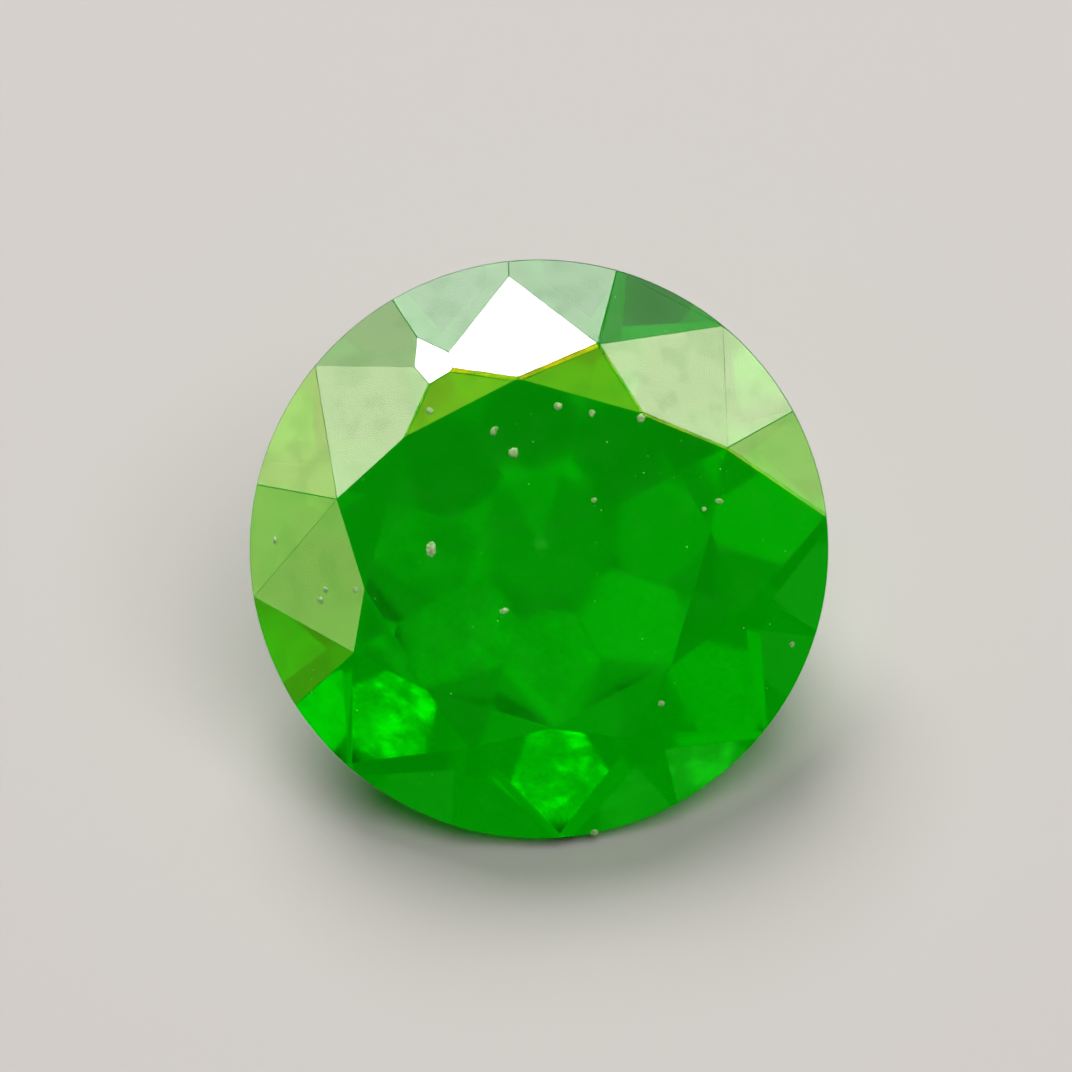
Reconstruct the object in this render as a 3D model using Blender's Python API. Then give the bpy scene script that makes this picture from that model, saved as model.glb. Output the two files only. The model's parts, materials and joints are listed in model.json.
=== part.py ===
"""A round brilliant-cut demantoid garnet, lying on one facet of its pavilion.

The stone is cut as a lapidary cuts it. A round blank is ground flat by flat, each flat through the
points where it has to meet its neighbours. The finished stone is then tipped over onto the facet
that it rests on, so that its crown leans towards -Y.

Bearings are in degrees clockwise from the top of the stone, seen from the table. Radii are shares
of the girdle's radius. The crown's meet points follow the real stone, which was cut by hand and is
a little uneven. The pavilion can't be seen, so it is regular.
"""

import math

import bmesh
import bpy
from mathutils import Matrix, Vector

MM = 0.001
STONE = "demantoid_garnet"

# Driving sizes
GIRDLE_DIAMETER = 3.0 * MM
GIRDLE_THICKNESS = 0.11 * MM
GIRDLE_SIDES = 128
CROWN_ANGLE = 37.0
PAVILION_ANGLE = 41.0
CULET_RADIUS = 0.02

# The lower girdle facets are short, as on many coloured stones, so the main facet below is wide enough
# for the stone to lie on
LOWER_GIRDLE_MEET = 0.56

# The eight kites start at the top and go clockwise. Each step of the index is 45 degrees.
FACETS = 8
STEP = 360.0 / FACETS

# How far each meet point is from its regular bearing, in degrees, kite by kite
KITE_TIP_DRIFT = (-0.6, -0.3, -1.3, -0.6, 2.2, 2.4, -4.0, -0.1)
TABLE_CORNER_DRIFT = (-0.6, -2.4, -2.0, 0.4, 1.0, -1.0, -6.4, 1.8)
GIRDLE_BREAK_DRIFT = (-1.4, -0.6, 0.5, 0.8, -1.0, -4.6, -4.1, -2.4)

# How far the girdle's edge dips at each kite's tip, where the facets beside it are cut lower. The top
# kite stops a little short of the girdle for that reason.
GIRDLE_DIP = (0.009, 0, 0, 0, 0, 0, 0, 0)

# How far out each star facet's tip lies, between one kite and the next
STAR_TIP_RADIUS = (0.745, 0.745, 0.735, 0.725, 0.712, 0.718, 0.710, 0.722)
TABLE_RADIUS = 0.601

# Grinding: a point this close to the wheel is already on it
TOUCH = 1e-7

GIRDLE_RADIUS = GIRDLE_DIAMETER / 2
GIRDLE_TOP = GIRDLE_THICKNESS / 2
GIRDLE_BOTTOM = -GIRDLE_THICKNESS / 2
CROWN_SLOPE = math.tan(math.radians(CROWN_ANGLE))
PAVILION_SLOPE = math.tan(math.radians(PAVILION_ANGLE))
TABLE_HEIGHT = GIRDLE_TOP + GIRDLE_RADIUS * (1 - TABLE_RADIUS) * CROWN_SLOPE
CULET_HEIGHT = GIRDLE_BOTTOM - GIRDLE_RADIUS * (1 - CULET_RADIUS) * PAVILION_SLOPE

# An edge flatter than this is only the girdle's own roundness, and isn't the edge of a facet
ROUNDNESS_ANGLE = math.radians(360.0 / GIRDLE_SIDES + 1.0)

GARNET_GREEN = (0.02, 0.42, 0.02, 1.0)
GARNET_IOR = 1.88
POLISHED = 0.03


def outward(bearing):
    """The level direction that a bearing points in."""
    angle = math.radians(bearing)
    return Vector((math.sin(angle), math.cos(angle), 0))


def meet_point(bearing, radius, height):
    point = outward(bearing) * radius * GIRDLE_RADIUS
    point.z = height
    return point


def plane_of(first, second, third):
    """A plane through three points, as (point, normal), facing away from the middle of the stone."""
    normal = (second - first).cross(third - first).normalized()
    return (first, normal) if normal.dot(first) > 0 else (first, -normal)


def kite_plane(bearing, slope, rim_height):
    """A main facet, which touches the girdle's edge at one point and climbs by the slope."""
    normal = outward(bearing) * abs(slope)
    normal.z = math.copysign(1.0, slope)
    return meet_point(bearing, 1.0, rim_height), normal.normalized()


def point_on_both(first, second, radius, bearing_guess):
    """Where two planes cross at a radius, on the side that the guess is on."""
    along = first[1].cross(second[1]).normalized()
    base = first[0].copy()
    across = along.cross(first[1]).normalized()
    base += across * (second[0] - base).dot(second[1]) / across.dot(second[1])
    flat_along = Vector((along.x, along.y))
    flat_base = Vector((base.x, base.y))
    reach = radius * GIRDLE_RADIUS
    a = flat_along.length_squared
    b = flat_base.dot(flat_along)
    c = flat_base.length_squared - reach * reach
    root = math.sqrt(b * b - a * c)
    crossings = [base + along * ((-b + sign * root) / a) for sign in (1, -1)]
    return max(crossings, key=lambda point: point.dot(outward(bearing_guess)))


def crown_planes():
    """The table and the crown's kites, stars and upper girdle facets."""
    kite_bearings = [i * STEP + KITE_TIP_DRIFT[i] for i in range(FACETS)]
    kites = [kite_plane(bearing, CROWN_SLOPE, GIRDLE_TOP) for bearing in kite_bearings]
    tips = [
        meet_point(bearing, 1.0, GIRDLE_TOP - dip * GIRDLE_RADIUS)
        for bearing, dip in zip(kite_bearings, GIRDLE_DIP)
    ]
    corners = []
    for i in range(FACETS):
        bearing = i * STEP + TABLE_CORNER_DRIFT[i]
        aside = math.radians(bearing - kite_bearings[i])
        corners.append(meet_point(bearing, TABLE_RADIUS / math.cos(aside), TABLE_HEIGHT))
    planes = [(Vector((0, 0, TABLE_HEIGHT)), Vector((0, 0, 1)))]
    planes += kites
    for i in range(FACETS):
        following = (i + 1) % FACETS
        between = (i + 0.5) * STEP
        star_tip = point_on_both(kites[i], kites[following], STAR_TIP_RADIUS[i], between)
        girdle_break = meet_point(between + GIRDLE_BREAK_DRIFT[i], 1.0, GIRDLE_TOP)
        planes.append(plane_of(corners[i], corners[following], star_tip))
        planes.append(plane_of(star_tip, tips[i], girdle_break))
        planes.append(plane_of(star_tip, girdle_break, tips[following]))
    return planes


def pavilion_planes():
    """The culet and the pavilion's main and lower girdle facets."""
    mains = [kite_plane(i * STEP, -PAVILION_SLOPE, GIRDLE_BOTTOM) for i in range(FACETS)]
    planes = [(Vector((0, 0, CULET_HEIGHT)), Vector((0, 0, -1)))]
    planes += mains
    for i in range(FACETS):
        following = (i + 1) % FACETS
        between = (i + 0.5) * STEP
        inner = point_on_both(mains[i], mains[following], LOWER_GIRDLE_MEET, between)
        girdle_break = meet_point(between, 1.0, GIRDLE_BOTTOM)
        for tip_bearing in (i * STEP, (i + 1) * STEP):
            planes.append(plane_of(inner, meet_point(tip_bearing, 1.0, GIRDLE_BOTTOM), girdle_break))
    return planes


def grind(stone, point, normal):
    """Grinds away all that is outside one plane and closes the flat that this leaves."""
    everything = stone.verts[:] + stone.edges[:] + stone.faces[:]
    cut = bmesh.ops.bisect_plane(
        stone, geom=everything, dist=TOUCH, plane_co=point, plane_no=normal, clear_outer=True
    )
    rim = [item for item in cut["geom_cut"] if isinstance(item, bmesh.types.BMEdge)]
    bmesh.ops.contextual_create(stone, geom=[edge for edge in rim if edge.is_boundary])


def cut_stone():
    """The whole stone, table up, with the middle of the girdle at the origin."""
    stone = bmesh.new()
    bmesh.ops.create_cone(
        stone,
        cap_ends=True,
        segments=GIRDLE_SIDES,
        radius1=GIRDLE_RADIUS,
        radius2=GIRDLE_RADIUS,
        depth=2 * GIRDLE_DIAMETER,
    )
    for point, normal in crown_planes() + pavilion_planes():
        grind(stone, point, normal)
    bmesh.ops.recalc_face_normals(stone, faces=stone.faces[:])
    return stone


def lay_down(stone):
    """Tips the stone onto its lowest main facet, and puts the middle of what it covers at the origin."""
    bmesh.ops.transform(
        stone, matrix=Matrix.Rotation(math.radians(PAVILION_ANGLE), 4, "X"), verts=stone.verts[:]
    )
    spans = [[vertex.co[axis] for vertex in stone.verts] for axis in range(3)]
    middle = [(min(span) + max(span)) / 2 for span in spans]
    middle[2] = min(spans[2])
    bmesh.ops.translate(stone, vec=-Vector(middle), verts=stone.verts[:])


def garnet_material():
    material = bpy.data.materials.new("garnet")
    material.use_nodes = True
    shader = material.node_tree.nodes["Principled BSDF"]
    shader.inputs["Base Color"].default_value = GARNET_GREEN
    shader.inputs["Roughness"].default_value = POLISHED
    shader.inputs["Metallic"].default_value = 0.0
    shader.inputs["IOR"].default_value = GARNET_IOR
    shader.inputs["Transmission Weight"].default_value = 1.0
    return material


def main():
    for leftover in list(bpy.data.objects):
        bpy.data.objects.remove(leftover)
    collection = bpy.data.collections.new(STONE)
    bpy.context.scene.collection.children.link(collection)
    stone = cut_stone()
    lay_down(stone)
    mesh = bpy.data.meshes.new(STONE)
    stone.to_mesh(mesh)
    stone.free()
    mesh.shade_smooth()
    mesh.set_sharp_from_angle(angle=ROUNDNESS_ANGLE)
    mesh.materials.append(garnet_material())
    collection.objects.link(bpy.data.objects.new(STONE, mesh))


main()
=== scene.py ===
"""The looks of a round brilliant-cut demantoid garnet, which lies on one facet of its pavilion.

Lengths are in metres. Bearings are in degrees clockwise from the top of the stone, seen from the
table. The stone's own directions are its axis, which runs out of the table, its top, which is the
direction of bearing 0 in the plane of the girdle, and +X, which is the direction of bearing 90.
"""

import json
import math
import random

import bmesh
import bpy
from mathutils import Matrix, Vector, geometry, noise


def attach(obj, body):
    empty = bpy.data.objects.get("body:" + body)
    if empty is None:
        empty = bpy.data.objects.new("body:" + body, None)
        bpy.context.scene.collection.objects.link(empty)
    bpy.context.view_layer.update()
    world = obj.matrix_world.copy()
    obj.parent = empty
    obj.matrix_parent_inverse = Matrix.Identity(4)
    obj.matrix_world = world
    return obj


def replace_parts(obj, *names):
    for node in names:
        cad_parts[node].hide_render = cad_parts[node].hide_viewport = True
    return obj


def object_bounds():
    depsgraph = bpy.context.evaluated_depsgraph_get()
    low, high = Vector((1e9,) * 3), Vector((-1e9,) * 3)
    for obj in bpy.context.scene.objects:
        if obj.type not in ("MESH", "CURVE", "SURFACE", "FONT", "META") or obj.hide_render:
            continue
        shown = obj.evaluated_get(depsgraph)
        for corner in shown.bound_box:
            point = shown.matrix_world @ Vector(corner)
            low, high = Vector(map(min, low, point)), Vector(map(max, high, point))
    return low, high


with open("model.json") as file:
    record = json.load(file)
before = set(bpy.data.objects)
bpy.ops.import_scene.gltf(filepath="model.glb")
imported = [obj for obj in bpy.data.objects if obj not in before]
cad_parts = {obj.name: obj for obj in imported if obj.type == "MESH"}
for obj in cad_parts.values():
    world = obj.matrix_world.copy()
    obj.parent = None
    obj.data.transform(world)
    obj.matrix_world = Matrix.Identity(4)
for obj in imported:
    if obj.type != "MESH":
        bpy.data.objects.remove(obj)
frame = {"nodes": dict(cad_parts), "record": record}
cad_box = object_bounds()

MM = 0.001
MICRON = 1e-6
NODE = "demantoid_garnet"

# The stone's own directions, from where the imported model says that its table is
MOUNTS = {mount["name"]: mount for mount in frame["record"]["mounts"]}
AXIS = Vector(MOUNTS["table"]["axis"]).normalized()
RIGHT = Vector((1, 0, 0))
TOP = AXIS.cross(RIGHT).normalized()

# The girdle
GIRDLE_RADIUS = (cad_box[1].x - cad_box[0].x) / 2
GIRDLE_SIDES = 384

# A face whose normal is this square to the axis, as a cosine, is part of the girdle
GIRDLE_LEAN = 0.3

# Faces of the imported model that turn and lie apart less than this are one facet
SAME_FACET = math.radians(4.0)
SAME_FACET_GAP = 2 * MICRON
SAME_POINT = 0.1 * MICRON
FLAT = math.radians(0.3)
SMALLEST_FACET = 2000 * MICRON**2

# Grinding: a point this close to the wheel is already on it
TOUCH = 1e-9

# Every edge is rounded over this width, apart from those that are only the girdle's own roundness
EDGE_WIDTH = 5.5 * MICRON
EDGE_STEPS = 2
SHORTEST_EDGE = 9 * MICRON
ROUNDNESS = math.radians(360 / GIRDLE_SIDES + 0.6)

# Corners that are worn flat: pixel in the photograph, bearing, degrees off the axis, depth
WORN_CORNERS = ((433, 354, 336, 37.5, 8.5 * MICRON),)

# The pavilion's top facet, as bearing and degrees off the axis, and how far it is off a regular cut
BACK_FACET = (0, 139)
BACK_FACET_STEEPER = math.radians(0.10)
BACK_FACET_TURN = math.radians(0.35)

# The garnet. Of each colour it absorbs, per metre, DEPTH_OF_GREEN times what GREEN lacks of it.
IOR = 1.88
GREEN = (0.0, 0.955, 0.0, 1)
DEPTH_OF_GREEN = 2000

# Its surface: how rough each part is, smears from handling, and the faint ripple that polishing leaves
CROWN_FINISH = 0.09
PAVILION_FINISH = 0.03
WORN_FINISH = 0.36
GIRDLE_FINISH = 0.4
SMEARS_PER_METRE = 6500
SMEAR_EDGE = (0.46, 0.62)
SMEAR_ROUGHNESS = 0.052
RIPPLES_PER_METRE = 7000
RIPPLE_HEIGHT = 0.12 * MICRON

# The photograph's frame is 1072 pixels square
PHOTO_SIZE = 1072
STONE_CENTRE_PX = (539, 549)
STONE_WIDTH_PX = 578.5
TABLE_LEAN_LEFT = math.radians(1.7)
TABLE_LEAN_DOWN = math.radians(2.2)
STONE_TURN = math.radians(5.5)
CAMERA_DISTANCE = 60 * MM
LIGHT_DISTANCE = 120 * MM
SENSOR_WIDTH = 36.0
NEAREST_SEEN = 1 * MM
FURTHEST_SEEN = 1.0

# The larger grains of dust: pixel in the photograph, width and height in pixels, turn in degrees
GRAINS = (
    (514, 453, 10, 9, 20),
    (431, 549, 9, 15, 10),
    (326, 590, 6, 7, -25),
    (321, 600, 7, 7, 15),
    (356, 590, 6, 5, 0),
    (504, 611, 9, 5, -15),
    (661, 703, 7, 6, 0),
    (792, 644, 6, 6, 0),
    (594, 500, 5, 5, 0),
    (719, 501, 9, 5, 5),
    (558, 406, 8, 7, 0),
    (592, 413, 6, 7, 0),
    (641, 418, 8, 8, 0),
    (494, 431, 6, 9, 30),
    (275, 540, 5, 8, -20),
    (430, 411, 7, 7, 40),
    (594, 832, 8, 8, 0),
    (704, 509, 5, 4, 0),
)
GRAIN_THICKNESS = 0.45

# The finer grains: how many, their width, length and thickness, and how far over the stone they lie
FINE_GRAINS = 320
FINE_GRAIN = (1.2 * MICRON, 6.0 * MICRON)
FINE_GRAIN_LENGTH = (0.6, 1.8)
FINE_GRAIN_THICKNESS = 0.6
DUST_REACH = 0.97
DUST_SEED = 11

# The lumps on a grain: how close, how high, their fineness, and how much each grain differs from the last
LUMP_SPACING = 1.6
LUMP_HEIGHT = 0.35
LUMP_OCTAVES = (0.8, 2.2, 4)
LUMP_STEP = 7.3

# A grain wider than this has more faces
LARGE_GRAIN = 20 * MICRON

# How far a grain's middle stands off its facet, as a share of the grain's thickness
GRAIN_STAND = 0.2

# The dust's tones, mixed at random by mottles. Their green tint is painted light: it stands for the stone's
# green light on pale dust.
DUST_DARK_PAINTED_GREEN = (0.22, 0.56, 0.10, 1)
DUST_LIGHT_PAINTED_GREEN = (0.66, 0.95, 0.52, 1)
DUST_MOTTLES_PER_METRE = 60000

FLOOR_RADIUS = 300 * MM
FLOOR_DROP = 1 * MICRON
FLOOR_COLOUR = (0.72, 0.71, 0.69, 1)


def direction(bearing, off_axis):
    """The direction that is so far off the axis, towards a bearing, both in degrees."""
    b, a = math.radians(bearing), math.radians(off_axis)
    return AXIS * math.cos(a) + (RIGHT * math.sin(b) + TOP * math.cos(b)) * math.sin(a)


def bearing_of(vector):
    return math.degrees(math.atan2(vector.dot(RIGHT), vector.dot(TOP))) % 360


def on_girdle(normal):
    return abs(normal.dot(AXIS)) < GIRDLE_LEAN


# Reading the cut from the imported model


def packed_faces():
    """(area, centre, normal, corners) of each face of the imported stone, largest first."""
    mesh = bmesh.new()
    mesh.from_mesh(frame["nodes"][NODE].data)
    bmesh.ops.remove_doubles(mesh, verts=mesh.verts[:], dist=SAME_POINT)
    bmesh.ops.dissolve_limit(mesh, angle_limit=FLAT, verts=mesh.verts[:], edges=mesh.edges[:])
    faces = [
        (face.calc_area(), face.calc_center_median(), face.normal.copy(), [v.co.copy() for v in face.verts])
        for face in mesh.faces
    ]
    mesh.free()
    return sorted(faces, key=lambda face: -face[0])


def facet_planes(faces):
    """One (point, normal) for each flat facet. A sliver repeats a larger face's plane, less exactly."""
    planes = []
    for area, centre, normal, _ in faces:
        if area < SMALLEST_FACET or on_girdle(normal):
            continue
        if not any(
            normal.angle(known) < SAME_FACET and abs((centre - point).dot(known)) < SAME_FACET_GAP
            for point, known in planes
        ):
            planes.append((centre, normal))
    return planes


def girdle_middle(faces):
    """The middle of the girdle, half-way between its furthest points each way."""
    corners = [corner for _, _, normal, ring in faces if on_girdle(normal) for corner in ring]
    middle = Vector()
    for way in (RIGHT, TOP, AXIS):
        reach = [corner.dot(way) for corner in corners]
        middle += way * (min(reach) + max(reach)) / 2
    return middle


def hand_cut(planes):
    """Turns the pavilion's top facet a hair, as cutting by hand leaves it."""
    cut = []
    for point, normal in planes:
        if normal.angle(direction(*BACK_FACET)) < SAME_FACET:
            normal = Matrix.Rotation(BACK_FACET_STEEPER, 3, RIGHT) @ normal
            normal = Matrix.Rotation(BACK_FACET_TURN, 3, AXIS) @ normal
        cut.append((point, normal))
    return cut


FACES = packed_faces()
MIDDLE = girdle_middle(FACES)
PLANES = hand_cut(facet_planes(FACES))

# The kinds of crown facet, by how many degrees they lean off the axis
KITE = (36.5, 37.5)
GIRDLE_FACET = (38.5, 60)
STAR = (5, 30)


def crown_facet(kind, bearing):
    """The (point, normal) of the crown facet of a kind that is nearest a bearing."""
    near = [plane for plane in PLANES if kind[0] < math.degrees(plane[1].angle(AXIS)) < kind[1]]
    return min(near, key=lambda plane: abs((bearing_of(plane[1]) - bearing + 180) % 360 - 180))


# Where the photograph was taken from


def photo_axes():
    """The directions towards the camera, to the photograph's right and to its top."""
    view = AXIS + RIGHT * math.tan(TABLE_LEAN_LEFT) + TOP * math.tan(TABLE_LEAN_DOWN)
    view.normalize()
    top = (TOP - view * TOP.dot(view)).normalized()
    side = top.cross(view)
    up = top * math.cos(STONE_TURN) + side * math.sin(STONE_TURN)
    return view, up.cross(view), up


METRES_PER_PX = 2 * GIRDLE_RADIUS / STONE_WIDTH_PX
VIEW, PHOTO_RIGHT, PHOTO_UP = photo_axes()


def beside_middle(px, py):
    """The point level with the middle of the girdle that the photograph shows at a pixel."""
    across = PHOTO_RIGHT * (px - STONE_CENTRE_PX[0])
    down = PHOTO_UP * (py - STONE_CENTRE_PX[1])
    return MIDDLE + (across - down) * METRES_PER_PX


EYE = beside_middle(PHOTO_SIZE / 2, PHOTO_SIZE / 2) + VIEW * CAMERA_DISTANCE


def on_stone(px, py):
    """The point on the stone that the photograph shows at a pixel, and the facet's normal there."""
    ray = (beside_middle(px, py) - EYE).normalized()
    facing = [(point, normal) for point, normal in PLANES if normal.dot(ray) < 0]
    reach, normal = max(
        (((point - EYE).dot(normal) / ray.dot(normal), normal) for point, normal in facing),
        key=lambda hit: hit[0],
    )
    return EYE + ray * reach, normal


def mirror(normal):
    """The direction that the camera sees mirrored in a facet."""
    return (2 * normal.dot(VIEW) * normal - VIEW).normalized()


def make_camera():
    data = bpy.data.cameras.new("camera")
    data.sensor_width = SENSOR_WIDTH
    data.lens = SENSOR_WIDTH * CAMERA_DISTANCE / (PHOTO_SIZE * METRES_PER_PX)
    data.clip_start = NEAREST_SEEN
    data.clip_end = FURTHEST_SEEN
    camera = bpy.data.objects.new("camera", data)
    place = Matrix((PHOTO_RIGHT, PHOTO_UP, VIEW)).transposed().to_4x4()
    place.translation = EYE
    camera.matrix_world = place
    bpy.context.scene.collection.objects.link(camera)
    bpy.context.scene.camera = camera


# The stone


# Edges that are worn to a narrow flat: the facets on both sides, and the flat's width
WORN_EDGES = {
    "back_left": ((KITE, 0), (STAR, 338), 27 * MICRON),
    "back_right": ((KITE, 0), (STAR, 21), 27 * MICRON),
    "right_inner": ((KITE, 45), (STAR, 21), 16 * MICRON),
    "right_middle": ((KITE, 45), (STAR, 66), 20 * MICRON),
    "right_outer": ((GIRDLE_FACET, 78), (KITE, 90), 15 * MICRON),
    "left_inner": ((KITE, 315), (STAR, 338), 11 * MICRON),
}


def worn_flat(first, second, width):
    """The (point, normal) of a flat of a given width that takes off the edge between two facets."""
    first, second = crown_facet(*first), crown_facet(*second)
    on_edge, _ = geometry.intersect_plane_plane(*first, *second)
    normal = (first[1] + second[1]).normalized()
    depth = width / 2 * math.tan(first[1].angle(second[1]) / 2)
    return on_edge - normal * depth, normal


def grind(stone, point, normal):
    """Grinds away all that is outside one plane and closes the flat that this leaves."""
    everything = stone.verts[:] + stone.edges[:] + stone.faces[:]
    cut = bmesh.ops.bisect_plane(
        stone, geom=everything, dist=TOUCH, plane_co=point, plane_no=normal, clear_outer=True
    )
    rim = [item for item in cut["geom_cut"] if isinstance(item, bmesh.types.BMEdge)]
    bmesh.ops.contextual_create(stone, geom=[edge for edge in rim if edge.is_boundary])


def cut_stone():
    """The stone with exact flat facets, in its place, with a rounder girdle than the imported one's."""
    stone = bmesh.new()
    turn = Matrix((RIGHT, TOP, AXIS)).transposed().to_4x4()
    bmesh.ops.create_cone(
        stone,
        cap_ends=True,
        segments=GIRDLE_SIDES,
        radius1=GIRDLE_RADIUS,
        radius2=GIRDLE_RADIUS,
        depth=6 * GIRDLE_RADIUS,
        matrix=Matrix.Translation(MIDDLE) @ turn,
    )
    for point, normal in PLANES:
        grind(stone, point, normal)
    for edge in WORN_EDGES.values():
        grind(stone, *worn_flat(*edge))
    for px, py, bearing, off_axis, depth in WORN_CORNERS:
        normal = direction(bearing, off_axis)
        grind(stone, on_stone(px, py)[0] - normal * depth, normal)
    bmesh.ops.remove_doubles(stone, verts=stone.verts[:], dist=SHORTEST_EDGE)
    bmesh.ops.recalc_face_normals(stone, faces=stone.faces[:])
    return stone


def wear_edges(stone):
    """Rounds each facet's edges a little. Returns the faces that this makes."""
    sharp = [edge for edge in stone.edges if edge.calc_face_angle(0) > ROUNDNESS]
    worn = bmesh.ops.bevel(
        stone,
        geom=sharp,
        offset=EDGE_WIDTH,
        offset_type="WIDTH",
        segments=EDGE_STEPS,
        profile=0.5,
        affect="EDGES",
        clamp_overlap=False,
    )
    return worn["faces"]


def map_range(nodes, low, high, to_low, to_high):
    """A node that turns one range of values into another, with soft ends."""
    node = nodes.new("ShaderNodeMapRange")
    node.interpolation_type = "SMOOTHSTEP"
    for name, value in zip(("From Min", "From Max", "To Min", "To Max"), (low, high, to_low, to_high)):
        node.inputs[name].default_value = value
    return node


def noise_texture(nodes, links, place, per_metre, detail):
    node = nodes.new("ShaderNodeTexNoise")
    node.inputs["Scale"].default_value = per_metre
    node.inputs["Detail"].default_value = detail
    links.new(place.outputs["Object"], node.inputs["Vector"])
    return node.outputs["Fac"]


def garnet_material():
    """Clear green garnet, as rough as each face's own finish says and a little more where it is smeared."""
    material = bpy.data.materials.new("demantoid")
    material.use_nodes = True
    nodes, links = material.node_tree.nodes, material.node_tree.links
    shader = nodes["Principled BSDF"]
    shader.inputs["Base Color"].default_value = (1, 1, 1, 1)
    shader.inputs["Transmission Weight"].default_value = 1.0
    shader.inputs["IOR"].default_value = IOR
    place = nodes.new("ShaderNodeTexCoord")
    finish = nodes.new("ShaderNodeAttribute")
    finish.attribute_name = "finish"
    smeared = map_range(nodes, *SMEAR_EDGE, 0.0, SMEAR_ROUGHNESS)
    links.new(noise_texture(nodes, links, place, SMEARS_PER_METRE, 3), smeared.inputs["Value"])
    roughness = nodes.new("ShaderNodeMath")
    links.new(finish.outputs["Fac"], roughness.inputs[0])
    links.new(smeared.outputs["Result"], roughness.inputs[1])
    links.new(roughness.outputs["Value"], shader.inputs["Roughness"])
    bump = nodes.new("ShaderNodeBump")
    bump.inputs["Distance"].default_value = RIPPLE_HEIGHT
    links.new(noise_texture(nodes, links, place, RIPPLES_PER_METRE, 2), bump.inputs["Height"])
    links.new(bump.outputs["Normal"], shader.inputs["Normal"])
    colour = nodes.new("ShaderNodeVolumeAbsorption")
    colour.inputs["Color"].default_value = GREEN
    colour.inputs["Density"].default_value = DEPTH_OF_GREEN
    links.new(colour.outputs["Volume"], nodes["Material Output"].inputs["Volume"])
    return material


def finish_of(face, worn):
    if face in worn:
        return WORN_FINISH
    if on_girdle(face.normal):
        return GIRDLE_FINISH
    return CROWN_FINISH if face.normal.dot(AXIS) > 0 else PAVILION_FINISH


def add_piece(name, mesh, material):
    """Puts a finished mesh into the scene as a piece of the stone."""
    mesh.materials.append(material)
    piece = bpy.data.objects.new(name, mesh)
    bpy.context.scene.collection.objects.link(piece)
    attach(piece, "root")
    return piece


def make_stone():
    stone = cut_stone()
    worn = set(wear_edges(stone))
    finish = stone.faces.layers.float.new("finish")
    for face in stone.faces:
        face[finish] = finish_of(face, worn)
        face.smooth = face in worn or on_girdle(face.normal)
    mesh = bpy.data.meshes.new("cut_stone")
    stone.to_mesh(mesh)
    stone.free()
    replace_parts(add_piece("cut_stone", mesh, garnet_material()), NODE)


# Dust


def add_grain(mesh, centre, normal, size, turn, seed):
    """Adds one crumb of dust that sits on a facet. The size is its width, height and thickness."""
    up = (PHOTO_UP - normal * PHOTO_UP.dot(normal)).normalized()
    facet_axes = Matrix((up.cross(normal), up, normal)).transposed()
    place = facet_axes @ Matrix.Rotation(math.radians(-turn), 3, "Z")
    fineness = 3 if size[0] > LARGE_GRAIN else 1
    for corner in bmesh.ops.create_icosphere(mesh, subdivisions=fineness, radius=0.5)["verts"]:
        way = corner.co.normalized()
        lumps = noise.fractal(way * LUMP_SPACING + Vector((seed * LUMP_STEP, 0, 0)), *LUMP_OCTAVES)
        shaped = way * 0.5 * (1 + LUMP_HEIGHT * lumps)
        shaped = Vector([shaped[i] * size[i] for i in range(3)])
        corner.co = centre + place @ shaped + normal * size[2] * GRAIN_STAND


# Dust with a painted green tint, which stands for the stone's light falling on it, over mottles of random
# tone
def dust_painted_green_material():
    material = bpy.data.materials.new("dust")
    material.use_nodes = True
    nodes, links = material.node_tree.nodes, material.node_tree.links
    shader = nodes["Principled BSDF"]
    tones = nodes.new("ShaderNodeValToRGB")
    tones.color_ramp.elements[0].position = 0.35
    tones.color_ramp.elements[0].color = DUST_DARK_PAINTED_GREEN
    tones.color_ramp.elements[1].position = 0.68
    tones.color_ramp.elements[1].color = DUST_LIGHT_PAINTED_GREEN
    place = nodes.new("ShaderNodeTexCoord")
    links.new(noise_texture(nodes, links, place, DUST_MOTTLES_PER_METRE, 3), tones.inputs["Fac"])
    links.new(tones.outputs["Color"], shader.inputs["Base Color"])
    shader.inputs["Roughness"].default_value = 0.75
    shader.inputs["Specular IOR Level"].default_value = 0.3
    return material


def make_dust():
    """The crumbs of dust that the photograph shows, and finer dust between them."""
    dust = bmesh.new()
    for i, (px, py, width, height, turn) in enumerate(GRAINS):
        centre, normal = on_stone(px, py)
        across, along = width * METRES_PER_PX, height * METRES_PER_PX
        size = (across, along, GRAIN_THICKNESS * min(across, along))
        add_grain(dust, centre, normal, size, turn, i)
    chance = random.Random(DUST_SEED)
    for i in range(FINE_GRAINS):
        reach = STONE_WIDTH_PX / 2 * DUST_REACH * math.sqrt(chance.random())
        way = chance.uniform(0, 2 * math.pi)
        px = STONE_CENTRE_PX[0] + reach * math.cos(way)
        centre, normal = on_stone(px, STONE_CENTRE_PX[1] + reach * math.sin(way))
        across = FINE_GRAIN[0] + (FINE_GRAIN[1] - FINE_GRAIN[0]) * chance.random() ** 3
        size = (across, across * chance.uniform(*FINE_GRAIN_LENGTH), across * FINE_GRAIN_THICKNESS)
        add_grain(dust, centre, normal, size, chance.uniform(0, 180), len(GRAINS) + i)
    mesh = bpy.data.meshes.new("dust")
    dust.to_mesh(mesh)
    dust.free()
    mesh.shade_smooth()
    piece = add_piece("dust", mesh, dust_painted_green_material())
    # Mirrored inside the stone, each grain would show many times over
    piece.visible_transmission = False
    piece.visible_glossy = False


# The studio


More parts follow.
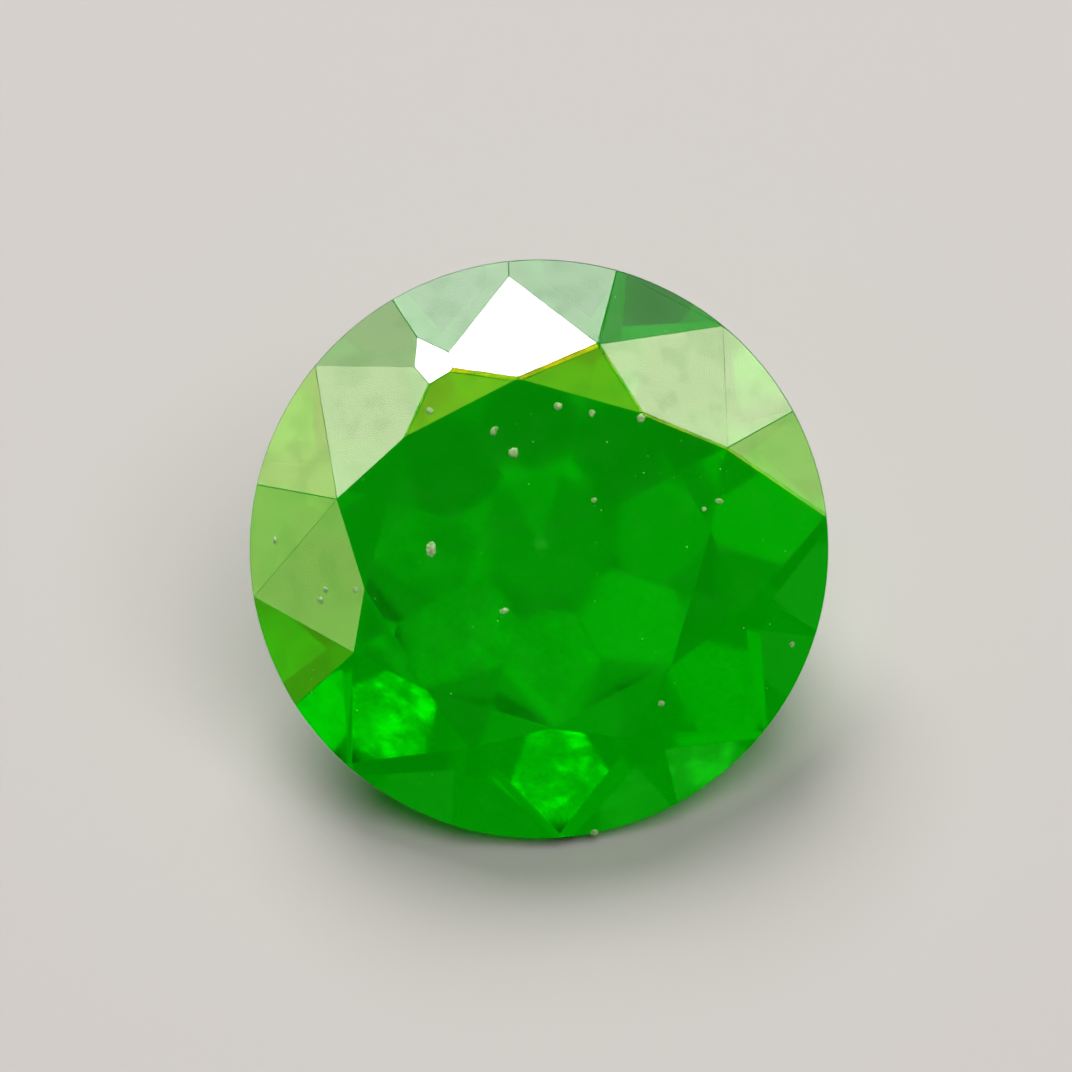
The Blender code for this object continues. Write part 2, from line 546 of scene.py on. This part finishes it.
def make_floor():
    """A pale disc under the stone, flat where the stone lies and far wider than any view of it."""
    floor = bmesh.new()
    bmesh.ops.create_circle(floor, cap_ends=True, segments=96, radius=FLOOR_RADIUS)
    mesh = bpy.data.meshes.new("floor")
    floor.to_mesh(mesh)
    floor.free()
    material = bpy.data.materials.new("pale_floor")
    material.use_nodes = True
    shader = material.node_tree.nodes["Principled BSDF"]
    shader.inputs["Base Color"].default_value = FLOOR_COLOUR
    shader.inputs["Roughness"].default_value = 0.7
    shader.inputs["Specular IOR Level"].default_value = 0.2
    mesh.materials.append(material)
    piece = bpy.data.objects.new("floor", mesh)
    piece.location.z = -FLOOR_DROP
    piece.visible_glossy = False
    bpy.context.scene.collection.objects.link(piece)


# Each light either is mirrored by facets, shines through the stone, or lights matt things
MIRRORED, THROUGH, MATT = range(3)


def add_panel(name, toward, radiance, colour, half_angle, use):
    """A soft round light towards a direction, of a half width in degrees, facing the stone."""
    data = bpy.data.lights.new(name, "AREA")
    data.shape = "DISK"
    data.size = 2 * LIGHT_DISTANCE * math.tan(math.radians(half_angle))
    data.energy = radiance * math.pi**2 * (data.size / 2) ** 2
    data.color = colour
    light = bpy.data.objects.new(name, data)
    light.matrix_world = toward.to_track_quat("Z", "Y").to_matrix().to_4x4()
    light.matrix_world.translation = MIDDLE + toward * LIGHT_DISTANCE
    light.visible_camera = False
    light.visible_glossy = use == MIRRORED
    light.visible_transmission = use == THROUGH
    light.visible_diffuse = use == MATT
    bpy.context.scene.collection.objects.link(light)


# The colours of light
PLAIN = (1.0, 1.0, 1.0)
WHITE = (1.0, 0.96, 0.94)
WARM = (1.0, 0.91, 0.70)
STRAW = (1.0, 0.93, 0.45)
LIME = (0.95, 1.0, 0.36)
LEMON = (1.0, 0.88, 0.08)
AMBER = (1.0, 0.5, 0.01)

# What the facets mirror, one light for each: facet's kind and bearing, radiance, colour, half width
PANELS = (
    ("behind", KITE, 0, 24, WHITE, 7),
    ("behind_left_low", GIRDLE_FACET, 348, 4.6, WHITE, 5),
    ("behind_right_low", GIRDLE_FACET, 11, 4.3, WHITE, 5),
    ("right_behind", GIRDLE_FACET, 33, 0.7, WHITE, 5),
    ("right", KITE, 45, 5.5, WARM, 6),
    ("right_low", GIRDLE_FACET, 56, 5.5, WARM, 5),
    ("right_lower", GIRDLE_FACET, 78, 2.8, STRAW, 5),
    ("left_high", GIRDLE_FACET, 325, 3.1, WARM, 5),
    ("left", KITE, 315, 5.3, WARM, 6),
    ("left_low", GIRDLE_FACET, 302, 3.8, STRAW, 5),
    ("left_lower_high", GIRDLE_FACET, 277, 2.3, LIME, 5),
    ("left_lower", KITE, 266, 2.2, LIME, 5),
    ("left_lowest", GIRDLE_FACET, 254, 0.45, LEMON, 5),
    ("zenith_right", STAR, 21, 1.2, LEMON, 5),
    ("zenith_left", STAR, 338, 1.7, LEMON, 5),
)

# What the worn corners mirror: radiance, half width
CORNER_GLINT = (22, 4)

# What the worn edges mirror: radiance, colour, half width
EDGE_GLINTS = {
    "back_left": (8.0, AMBER, 1.8),
    "back_right": (8.0, AMBER, 1.8),
    "right_inner": (4.8, LEMON, 1.6),
    "right_middle": (4.8, LEMON, 1.6),
    "right_outer": (3.8, LEMON, 1.6),
    "left_inner": (4.8, LEMON, 1.6),
}

# Flashes that the stone returns: degrees off the axis to the right and the top, radiance, half width
FLASHES = (
    ("flash_low", 0.5, -2.1, 2.6, 0.75),
    ("flash_left", 2.4, -27.3, 0.65, 2.7),
    ("flash_left_high", -19.8, 21.4, 0.35, 2.5),
)

# Soft boxes for the floor and for matt grains: direction, radiance, half width
SOFT_BOXES = (
    ("window", (-0.1, 0.75, 1.0), 7.0, 18),
    ("overhead", (0.3, -0.25, 1.0), 2.4, 24),
)

# How often light may bounce in the stone
BOUNCES = 14

# What shines through the stone: the sky's radiance, with a dim and a bright side near the axis
SKY_BRIGHT_SIDE = RIGHT * 0.5 - TOP * 0.86
SKY_DIM_WITHIN = 0.5
SKY_BRIGHT_BEYOND = 6.0
SKY_DIM = 0.34
SKY_BRIGHT = 0.66
SKY_EVEN = 0.42
SKY_SIDES_WITHIN = 10
SKY_EVEN_BEYOND = 24


def facing(nodes, links, place, way):
    """How far each direction of the sky lies towards a given one."""
    node = nodes.new("ShaderNodeVectorMath")
    node.operation = "DOT_PRODUCT"
    node.inputs[1].default_value = way
    links.new(place.outputs["Generated"], node.inputs[0])
    return node.outputs["Value"]


def make_sky():
    """A soft sky that only shines through the stone. What the facets mirror is the panels alone."""
    world = bpy.data.worlds.new("studio")
    bpy.context.scene.world = world
    world.use_nodes = True
    nodes, links = world.node_tree.nodes, world.node_tree.links
    place = nodes.new("ShaderNodeTexCoord")
    dim, bright = (math.sin(math.radians(a)) for a in (SKY_DIM_WITHIN, SKY_BRIGHT_BEYOND))
    swing = map_range(nodes, dim, bright, SKY_DIM - SKY_EVEN, SKY_BRIGHT - SKY_EVEN)
    links.new(facing(nodes, links, place, SKY_BRIGHT_SIDE), swing.inputs["Value"])
    beyond, within = (math.cos(math.radians(a)) for a in (SKY_EVEN_BEYOND, SKY_SIDES_WITHIN))
    window = map_range(nodes, beyond, within, 0, 1)
    links.new(facing(nodes, links, place, AXIS), window.inputs["Value"])
    strength = nodes.new("ShaderNodeMath")
    strength.operation = "MULTIPLY_ADD"
    links.new(swing.outputs["Result"], strength.inputs[0])
    links.new(window.outputs["Result"], strength.inputs[1])
    strength.inputs[2].default_value = SKY_EVEN
    links.new(strength.outputs["Value"], nodes["Background"].inputs["Strength"])
    nodes["Background"].inputs["Color"].default_value = (*PLAIN, 1)
    world.cycles_visibility.glossy = False
    world.cycles_visibility.diffuse = False


def light_the_studio():
    for name, kind, bearing, radiance, colour, half_angle in PANELS:
        toward = mirror(crown_facet(kind, bearing)[1])
        add_panel(name, toward, radiance, colour, half_angle, MIRRORED)
    for i, (_, _, bearing, off_axis, _) in enumerate(WORN_CORNERS):
        toward = mirror(direction(bearing, off_axis))
        add_panel(f"corner_{i}", toward, CORNER_GLINT[0], WHITE, CORNER_GLINT[1], MIRRORED)
    for name, (radiance, colour, half_angle) in EDGE_GLINTS.items():
        toward = mirror(worn_flat(*WORN_EDGES[name])[1])
        add_panel(f"edge_{name}", toward, radiance, colour, half_angle, MIRRORED)
    for name, aside, up, radiance, half_angle in FLASHES:
        toward = AXIS + RIGHT * math.tan(math.radians(aside)) + TOP * math.tan(math.radians(up))
        add_panel(name, toward.normalized(), radiance, PLAIN, half_angle, THROUGH)
    for name, toward, radiance, half_angle in SOFT_BOXES:
        add_panel(name, Vector(toward).normalized(), radiance, WHITE, half_angle, MATT)
    make_sky()
    scene = bpy.context.scene
    scene.cycles.max_bounces = BOUNCES
    scene.cycles.glossy_bounces = BOUNCES
    scene.cycles.transmission_bounces = BOUNCES
    scene.view_settings.view_transform = "Standard"


make_camera()
make_stone()
make_dust()
make_floor()
light_the_studio()
